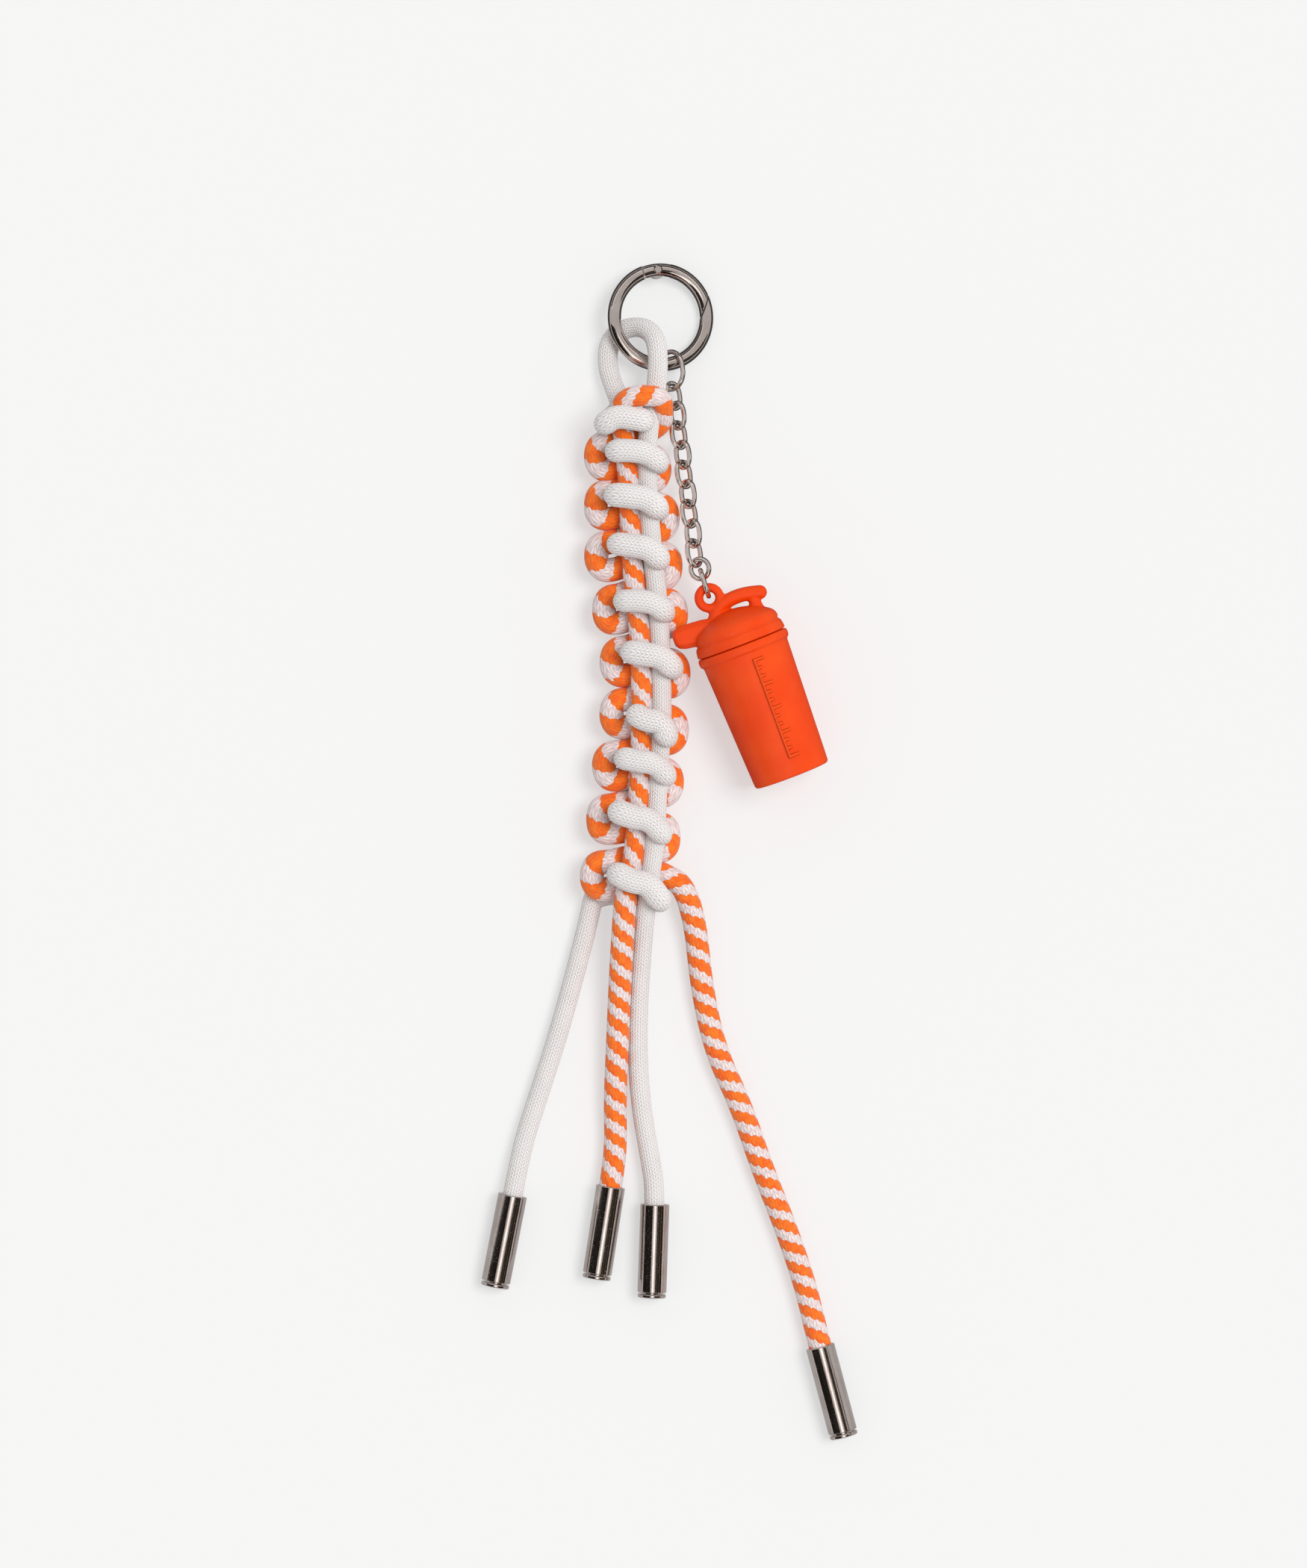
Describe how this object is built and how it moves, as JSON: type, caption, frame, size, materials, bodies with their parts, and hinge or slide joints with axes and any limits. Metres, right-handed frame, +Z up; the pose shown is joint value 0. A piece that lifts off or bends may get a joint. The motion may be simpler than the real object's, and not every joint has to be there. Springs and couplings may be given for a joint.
{
  "type": "bag charm",
  "caption": "Knotted two-cord lanyard on a spring-gate ring, with ferruled tails and a mini shaker bottle hanging from a cable chain",
  "frame": {"origin": "on the surface the charm lies on, under the middle of the box of ring, braid, chain and bottle, tails left out", "axes": "+Z up from the surface, +Y from the braid towards the ring, +X towards the bottle's side"},
  "size_m": [0.0868, 0.2714, 0.0218],
  "materials": {
    "white_cord": "fine braided polyester, matte",
    "striped_cord": "braided polyester with orange and white helical stripes",
    "ring_metal": "polished dark nickel",
    "ferrule_metal": "polished dark nickel",
    "chain_metal": "polished dark nickel",
    "soft_plastic": "satin moulded soft plastic"
  },
  "bodies": {
    "lanyard": {"white_loop": "white_cord", "white_core": "white_cord", "white_working_cord": "white_cord", "striped_core": "striped_cord", "striped_working_cord": "striped_cord", "left_white_tail": "white_cord", "centre_striped_tail": "striped_cord", "centre_white_tail": "white_cord", "right_striped_tail": "striped_cord", "left_white_ferrule": "ferrule_metal", "centre_striped_ferrule": "ferrule_metal", "centre_white_ferrule": "ferrule_metal", "right_striped_ferrule": "ferrule_metal", "left_white_ferrule_plug": "ferrule_metal", "centre_striped_ferrule_plug": "ferrule_metal", "centre_white_ferrule_plug": "ferrule_metal", "right_striped_ferrule_plug": "ferrule_metal"},
    "ring": {"ring_body": "ring_metal", "hinge_pin": "ring_metal", "gate_spring": "ring_metal"},
    "gate": {"ring_gate": "ring_metal"},
    "top_link": {"chain_top_link": "chain_metal"},
    "link_1": {"chain_link_1": "chain_metal"},
    "link_2": {"chain_link_2": "chain_metal"},
    "link_3": {"chain_link_3": "chain_metal"},
    "link_4": {"chain_link_4": "chain_metal"},
    "link_5": {"chain_link_5": "chain_metal"},
    "link_6": {"chain_link_6": "chain_metal"},
    "link_7": {"chain_link_7": "chain_metal"},
    "link_8": {"chain_link_8": "chain_metal"},
    "link_9": {"chain_link_9": "chain_metal"},
    "jump": {"jump_ring": "chain_metal"},
    "last": {"last_link": "chain_metal"},
    "bottle": {"bottle_body": "soft_plastic", "bottle_lid": "soft_plastic", "bottle_spout": "soft_plastic", "carry_loop": "soft_plastic"}
  },
  "joints": [
    {"name": "ring_swivel", "type": "hinge", "parent": "lanyard", "child": "ring", "pos_m": [-0.01519, 0.05349, 0.00552], "axis": [0, 0, 1], "range_deg": [0, 15]},
    {"name": "gate_hinge", "type": "hinge", "parent": "ring", "child": "gate", "pos_m": [-0.01081, 0.07388, 0.00443], "axis": [0.2419, 0, 0.9703], "range_deg": [-25, 0], "stiffness_Nm_per_rad": 0.002, "springref_deg": 20.05},
    {"name": "top_link_swing", "type": "hinge", "parent": "ring", "child": "top_link", "pos_m": [-0.00803, 0.05393, 0.00313], "axis": [0, 0, 1], "range_deg": [0, 18]},
    {"name": "link_1_swing", "type": "hinge", "parent": "top_link", "child": "link_1", "pos_m": [-0.00701, 0.04704, 0.00437], "axis": [0, 0, 1], "range_deg": [0, 12]},
    {"name": "link_2_swing", "type": "hinge", "parent": "link_1", "child": "link_2", "pos_m": [-0.00642, 0.04249, 0.00509], "axis": [0, 0, 1], "range_deg": [0, 12]},
    {"name": "link_3_swing", "type": "hinge", "parent": "link_2", "child": "link_3", "pos_m": [-0.00583, 0.03793, 0.00581], "axis": [0, 0, 1], "range_deg": [0, 12]},
    {"name": "link_4_swing", "type": "hinge", "parent": "link_3", "child": "link_4", "pos_m": [-0.00524, 0.03338, 0.00653], "axis": [0, 0, 1], "range_deg": [0, 12]},
    {"name": "link_5_swing", "type": "hinge", "parent": "link_4", "child": "link_5", "pos_m": [-0.00465, 0.02882, 0.00725], "axis": [0, 0, 1], "range_deg": [0, 12]},
    {"name": "link_6_swing", "type": "hinge", "parent": "link_5", "child": "link_6", "pos_m": [-0.00406, 0.02426, 0.00797], "axis": [0, 0, 1], "range_deg": [0, 12]},
    {"name": "link_7_swing", "type": "hinge", "parent": "link_6", "child": "link_7", "pos_m": [-0.00347, 0.01971, 0.00869], "axis": [0, 0, 1], "range_deg": [0, 12]},
    {"name": "link_8_swing", "type": "hinge", "parent": "link_7", "child": "link_8", "pos_m": [-0.00288, 0.01515, 0.00941], "axis": [0, 0, 1], "range_deg": [0, 12]},
    {"name": "link_9_swing", "type": "hinge", "parent": "link_8", "child": "link_9", "pos_m": [-0.00229, 0.0106, 0.01013], "axis": [0, 0, 1], "range_deg": [0, 12]},
    {"name": "jump_ring_swing", "type": "hinge", "parent": "link_9", "child": "jump", "pos_m": [-0.00158, 0.00614, 0.0108], "axis": [0, 0, 1], "range_deg": [0, 14]},
    {"name": "last_link_swing", "type": "hinge", "parent": "jump", "child": "last", "pos_m": [-0.00044, 0.00344, 0.01101], "axis": [0, 0, 1], "range_deg": [0, 14]},
    {"name": "bottle_swing", "type": "hinge", "parent": "last", "child": "bottle", "pos_m": [0.00057, 0.00029, 0.01135], "axis": [0, 0, 1], "range_deg": [0, 15]}
  ]
}
